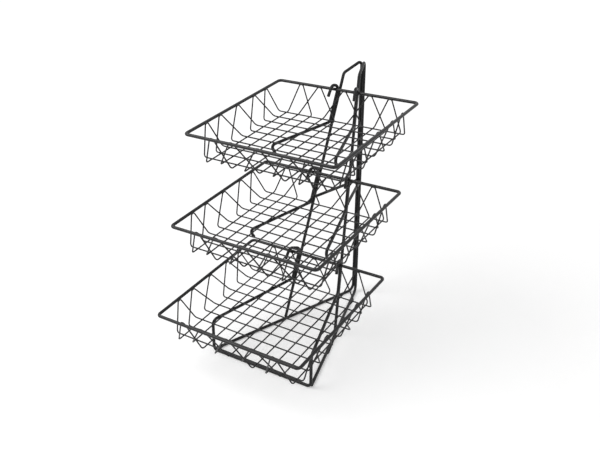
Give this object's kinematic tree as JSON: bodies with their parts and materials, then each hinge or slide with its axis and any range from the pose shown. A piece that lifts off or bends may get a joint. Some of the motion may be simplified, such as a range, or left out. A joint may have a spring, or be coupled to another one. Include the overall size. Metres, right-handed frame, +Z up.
{
  "type": "wire basket display rack",
  "caption": "Countertop display rack of bent black rod: shallow wire baskets hang in hooks one above the other, stepped forward towards the bottom, and lift at the front.",
  "frame": {"origin": "on the table, under the middle of the rack's bounding box", "axes": "+Z up, -Y towards the front, where the baskets face, +X to the right as seen from the front"},
  "size_m": [0.311, 0.468, 0.5142],
  "materials": {
    "stand_coat": "semi-gloss powder coat",
    "rim_coat": "semi-gloss powder coat",
    "wire_coat": "semi-gloss powder coat"
  },
  "bodies": {
    "stand": {"left_frame_rod": "stand_coat", "right_frame_rod": "stand_coat", "front_stand_rod": "stand_coat", "left_brace": "stand_coat", "right_brace": "stand_coat", "top_left_hook_arm": "stand_coat", "top_right_hook_arm": "stand_coat", "middle_left_hook_arm": "stand_coat", "middle_right_hook_arm": "stand_coat"},
    "basket_top": {"top_basket_rim": "rim_coat", "top_basket_cross_wire_1": "wire_coat", "top_basket_cross_wire_2": "wire_coat", "top_basket_cross_wire_3": "wire_coat", "top_basket_cross_wire_4": "wire_coat", "top_basket_cross_wire_5": "wire_coat", "top_basket_long_wire_1": "wire_coat", "top_basket_long_wire_2": "wire_coat", "top_basket_long_wire_3": "wire_coat", "top_basket_long_wire_4": "wire_coat", "top_basket_long_wire_5": "wire_coat"},
    "basket_middle": {"middle_basket_rim": "rim_coat", "middle_basket_cross_wire_1": "wire_coat", "middle_basket_cross_wire_2": "wire_coat", "middle_basket_cross_wire_3": "wire_coat", "middle_basket_cross_wire_4": "wire_coat", "middle_basket_cross_wire_5": "wire_coat", "middle_basket_long_wire_1": "wire_coat", "middle_basket_long_wire_2": "wire_coat", "middle_basket_long_wire_3": "wire_coat", "middle_basket_long_wire_4": "wire_coat", "middle_basket_long_wire_5": "wire_coat"},
    "basket_bottom": {"bottom_basket_rim": "rim_coat", "bottom_basket_cross_wire_1": "wire_coat", "bottom_basket_cross_wire_2": "wire_coat", "bottom_basket_cross_wire_3": "wire_coat", "bottom_basket_cross_wire_4": "wire_coat", "bottom_basket_cross_wire_5": "wire_coat", "bottom_basket_long_wire_1": "wire_coat", "bottom_basket_long_wire_2": "wire_coat", "bottom_basket_long_wire_3": "wire_coat", "bottom_basket_long_wire_4": "wire_coat", "bottom_basket_long_wire_5": "wire_coat"}
  },
  "joints": [
    {"name": "top_basket_lift", "type": "hinge", "parent": "stand", "child": "basket_top", "pos_m": [0, 0.16456, 0.468], "axis": [-1, 0, 0], "range_deg": [0, 90]},
    {"name": "middle_basket_lift", "type": "hinge", "parent": "stand", "child": "basket_middle", "pos_m": [0, 0.11396, 0.3102], "axis": [-1, 0, 0], "range_deg": [0, 20]},
    {"name": "bottom_basket_lift", "type": "hinge", "parent": "stand", "child": "basket_bottom", "pos_m": [0, 0.06336, 0.1524], "axis": [-1, 0, 0], "range_deg": [0, 30]}
  ]
}
